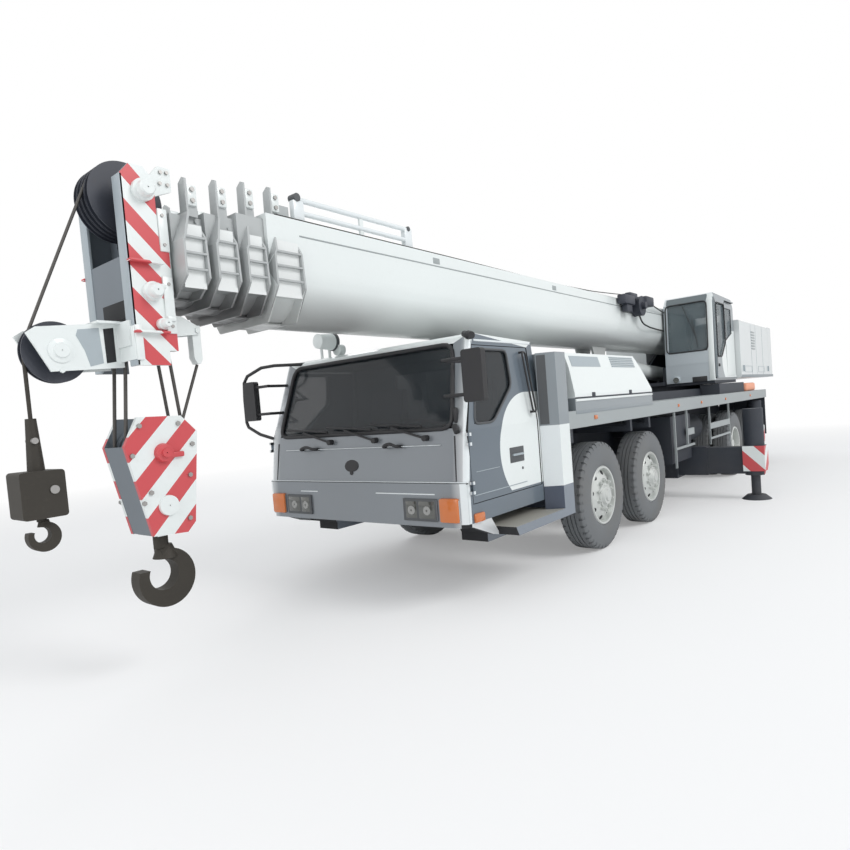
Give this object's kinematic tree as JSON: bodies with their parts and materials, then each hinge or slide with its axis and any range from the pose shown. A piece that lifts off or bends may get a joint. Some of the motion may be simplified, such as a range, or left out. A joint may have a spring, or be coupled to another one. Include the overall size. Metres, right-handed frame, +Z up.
{
  "type": "mobile crane",
  "caption": "Road-going mobile crane: telescopic boom, luffing cylinder and operator's cab on a slewing upper frame above a multi-axle carrier with sliding outriggers.",
  "frame": {"origin": "on the ground under the middle of the whole machine, hook block included", "axes": "+X forward along the boom as parked, +Y to the vehicle's left, +Z up"},
  "size_m": [14.698, 4.5198, 3.28],
  "materials": {
    "white_paint": "gloss",
    "grey_paint": "gloss",
    "dark_paint": "satin",
    "red_stripe": "gloss",
    "hook_steel": "matt",
    "rope_steel": "matt",
    "rod_chrome": "polished",
    "tyre_rubber": "matt",
    "window_glass": "clear",
    "trim_plastic": "matt",
    "lamp_plastic": "gloss",
    "seat_fabric": "matt"
  },
  "bodies": {
    "carrier": {"chassis_frame": "dark_paint", "deck": "grey_paint", "platform": "dark_paint", "cab_shell": "grey_paint", "cab_glass": "window_glass", "front_bumper": "grey_paint", "lamps": "lamp_plastic", "mirrors": "trim_plastic", "cab_interior": "seat_fabric", "step_boxes": "white_paint", "engine_hood": "white_paint", "engine": "dark_paint", "boom_rest": "white_paint", "side_equipment": "dark_paint", "axles": "dark_paint"},
    "upper_works": {"upper_frame": "white_paint", "upper_body": "white_paint", "counterweight": "white_paint", "winch": "dark_paint", "operator_cab": "white_paint", "operator_glass": "window_glass", "operator_seat": "seat_fabric"},
    "boom": {"boom_base": "white_paint", "boom_top_rail": "white_paint"},
    "telescope_2": {"boom_section_2": "white_paint"},
    "telescope_3": {"boom_section_3": "white_paint"},
    "telescope_4": {"boom_section_4": "white_paint"},
    "telescope_5": {"boom_section_5": "red_stripe", "head_sheaves": "dark_paint", "nose": "white_paint"},
    "main_tackle": {"hook_block": "red_stripe", "main_hook": "hook_steel", "main_ropes": "rope_steel"},
    "small_tackle": {"small_hook": "hook_steel"},
    "lift_cylinder": {"lift_barrel": "white_paint"},
    "lift_piston": {"lift_rod": "rod_chrome"},
    "operator_entry": {"operator_door": "white_paint"},
    "driver_door": {"cab_door_left": "grey_paint"},
    "mate_door": {"cab_door_right": "grey_paint"},
    "steering_1_left": {"knuckle_1_left": "dark_paint"},
    "road_wheel_1_left": {"wheel_1_left": "tyre_rubber"},
    "steering_2_left": {"knuckle_2_left": "dark_paint"},
    "road_wheel_2_left": {"wheel_2_left": "tyre_rubber"},
    "road_wheel_3_left": {"wheel_3_left": "tyre_rubber"},
    "road_wheel_4_left": {"wheel_4_left": "tyre_rubber"},
    "beam_front_left": {"outrigger_front_left": "white_paint"},
    "leg_front_left": {"jack_front_left": "rod_chrome"},
    "beam_rear_left": {"outrigger_rear_left": "white_paint"},
    "leg_rear_left": {"jack_rear_left": "rod_chrome"},
    "steering_1_right": {"knuckle_1_right": "dark_paint"},
    "road_wheel_1_right": {"wheel_1_right": "tyre_rubber"},
    "steering_2_right": {"knuckle_2_right": "dark_paint"},
    "road_wheel_2_right": {"wheel_2_right": "tyre_rubber"},
    "road_wheel_3_right": {"wheel_3_right": "tyre_rubber"},
    "road_wheel_4_right": {"wheel_4_right": "tyre_rubber"},
    "beam_front_right": {"outrigger_front_right": "white_paint"},
    "leg_front_right": {"jack_front_right": "rod_chrome"},
    "beam_rear_right": {"outrigger_rear_right": "white_paint"},
    "leg_rear_right": {"jack_rear_right": "rod_chrome"}
  },
  "joints": [
    {"name": "slewing", "type": "hinge", "parent": "carrier", "child": "upper_works", "pos_m": [-3.42, 0, 1.65], "axis": [0, 0, 1], "continuous": true},
    {"name": "boom_lift", "type": "hinge", "parent": "upper_works", "child": "boom", "pos_m": [-5.82, 0, 2.6], "axis": [0, -1, 0], "range_deg": [0, 76]},
    {"name": "telescope_2_slide", "type": "slide", "parent": "boom", "child": "telescope_2", "axis": [1, 0, 0], "range_m": [0, 7.5]},
    {"name": "telescope_3_slide", "type": "slide", "parent": "telescope_2", "child": "telescope_3", "axis": [1, 0, 0], "range_m": [0, 7.5]},
    {"name": "telescope_4_slide", "type": "slide", "parent": "telescope_3", "child": "telescope_4", "axis": [1, 0, 0], "range_m": [0, 7.5]},
    {"name": "telescope_5_slide", "type": "slide", "parent": "telescope_4", "child": "telescope_5", "axis": [1, 0, 0], "range_m": [0, 7.5]},
    {"name": "main_tackle_swing", "type": "hinge", "parent": "telescope_5", "child": "main_tackle", "pos_m": [6.555, 0, 2.25], "axis": [0, -1, 0], "range_deg": [-76, 0]},
    {"name": "small_tackle_swing", "type": "hinge", "parent": "telescope_5", "child": "small_tackle", "pos_m": [7.07, 0, 2.1], "axis": [0, -1, 0], "range_deg": [-76, 0]},
    {"name": "lift_cylinder_pivot", "type": "hinge", "parent": "upper_works", "child": "lift_cylinder", "pos_m": [-4.12, 0, 1.905], "axis": [0, -1, 0], "range_deg": [0, 85.97]},
    {"name": "lift_piston_slide", "type": "slide", "parent": "lift_cylinder", "child": "lift_piston", "axis": [0.9983, 0, 0.058], "range_m": [0, 2.1137]},
    {"name": "operator_door_slide", "type": "slide", "parent": "upper_works", "child": "operator_entry", "axis": [-1, 0, 0], "range_m": [0, 0.65]},
    {"name": "driver_door_hinge", "type": "hinge", "parent": "carrier", "child": "driver_door", "pos_m": [4.688, 1.218, 1.4], "axis": [0, 0, -1], "range_deg": [0, 65]},
    {"name": "mate_door_hinge", "type": "hinge", "parent": "carrier", "child": "mate_door", "pos_m": [4.688, -1.218, 1.4], "axis": [0, 0, 1], "range_deg": [0, 65]},
    {"name": "steer_1_left", "type": "hinge", "parent": "carrier", "child": "steering_1_left", "pos_m": [2.419, 0.915, 0.564], "axis": [0, 0, 1], "range_deg": [-32, 32]},
    {"name": "spin_1_left", "type": "hinge", "parent": "steering_1_left", "child": "road_wheel_1_left", "pos_m": [2.419, 1.15, 0.564], "axis": [0, 1, 0], "continuous": true},
    {"name": "steer_2_left", "type": "hinge", "parent": "carrier", "child": "steering_2_left", "pos_m": [0.952, 0.915, 0.564], "axis": [0, 0, 1], "range_deg": [-22.4, 22.4]},
    {"name": "spin_2_left", "type": "hinge", "parent": "steering_2_left", "child": "road_wheel_2_left", "pos_m": [0.952, 1.15, 0.564], "axis": [0, 1, 0], "continuous": true},
    {"name": "spin_3_left", "type": "hinge", "parent": "carrier", "child": "road_wheel_3_left", "pos_m": [-3.52, 1, 0.564], "axis": [0, 1, 0], "continuous": true},
    {"name": "spin_4_left", "type": "hinge", "parent": "carrier", "child": "road_wheel_4_left", "pos_m": [-4.87, 1, 0.564], "axis": [0, 1, 0], "continuous": true},
    {"name": "beam_front_left_slide", "type": "slide", "parent": "carrier", "child": "beam_front_left", "axis": [0, 1, 0], "range_m": [-0.87, 0.93]},
    {"name": "leg_front_left_slide", "type": "slide", "parent": "beam_front_left", "child": "leg_front_left", "axis": [0, 0, -1], "range_m": [-0.25, 0.15]},
    {"name": "beam_rear_left_slide", "type": "slide", "parent": "carrier", "child": "beam_rear_left", "axis": [0, 1, 0], "range_m": [0, 1.8]},
    {"name": "leg_rear_left_slide", "type": "slide", "parent": "beam_rear_left", "child": "leg_rear_left", "axis": [0, 0, -1], "range_m": [0, 0.4]},
    {"name": "steer_1_right", "type": "hinge", "parent": "carrier", "child": "steering_1_right", "pos_m": [2.419, -0.915, 0.564], "axis": [0, 0, 1], "range_deg": [-32, 32]},
    {"name": "spin_1_right", "type": "hinge", "parent": "steering_1_right", "child": "road_wheel_1_right", "pos_m": [2.419, -1.15, 0.564], "axis": [0, 1, 0], "continuous": true},
    {"name": "steer_2_right", "type": "hinge", "parent": "carrier", "child": "steering_2_right", "pos_m": [0.952, -0.915, 0.564], "axis": [0, 0, 1], "range_deg": [-22.4, 22.4]},
    {"name": "spin_2_right", "type": "hinge", "parent": "steering_2_right", "child": "road_wheel_2_right", "pos_m": [0.952, -1.15, 0.564], "axis": [0, 1, 0], "continuous": true},
    {"name": "spin_3_right", "type": "hinge", "parent": "carrier", "child": "road_wheel_3_right", "pos_m": [-3.52, -1, 0.564], "axis": [0, 1, 0], "continuous": true},
    {"name": "spin_4_right", "type": "hinge", "parent": "carrier", "child": "road_wheel_4_right", "pos_m": [-4.87, -1, 0.564], "axis": [0, 1, 0], "continuous": true},
    {"name": "beam_front_right_slide", "type": "slide", "parent": "carrier", "child": "beam_front_right", "axis": [0, -1, 0], "range_m": [-0.87, 0.93]},
    {"name": "leg_front_right_slide", "type": "slide", "parent": "beam_front_right", "child": "leg_front_right", "axis": [0, 0, -1], "range_m": [-0.25, 0.15]},
    {"name": "beam_rear_right_slide", "type": "slide", "parent": "carrier", "child": "beam_rear_right", "axis": [0, -1, 0], "range_m": [0, 1.8]},
    {"name": "leg_rear_right_slide", "type": "slide", "parent": "beam_rear_right", "child": "leg_rear_right", "axis": [0, 0, -1], "range_m": [0, 0.4]}
  ],
  "couplings": [
    {"joint": "telescope_3_slide", "follows": "telescope_2_slide", "ratio": 1},
    {"joint": "telescope_4_slide", "follows": "telescope_2_slide", "ratio": 1},
    {"joint": "telescope_5_slide", "follows": "telescope_2_slide", "ratio": 1},
    {"joint": "main_tackle_swing", "follows": "boom_lift", "ratio": -1},
    {"joint": "small_tackle_swing", "follows": "boom_lift", "ratio": -1},
    {"joint": "lift_cylinder_pivot", "follows": "boom_lift", "ratio": 1.1311},
    {"joint": "lift_piston_slide", "follows": "boom_lift", "m_per_rad": 1.5927},
    {"joint": "steer_2_left", "follows": "steer_1_left", "ratio": 0.7},
    {"joint": "steer_1_right", "follows": "steer_1_left", "ratio": 1},
    {"joint": "steer_2_right", "follows": "steer_1_left", "ratio": 0.7}
  ]
}
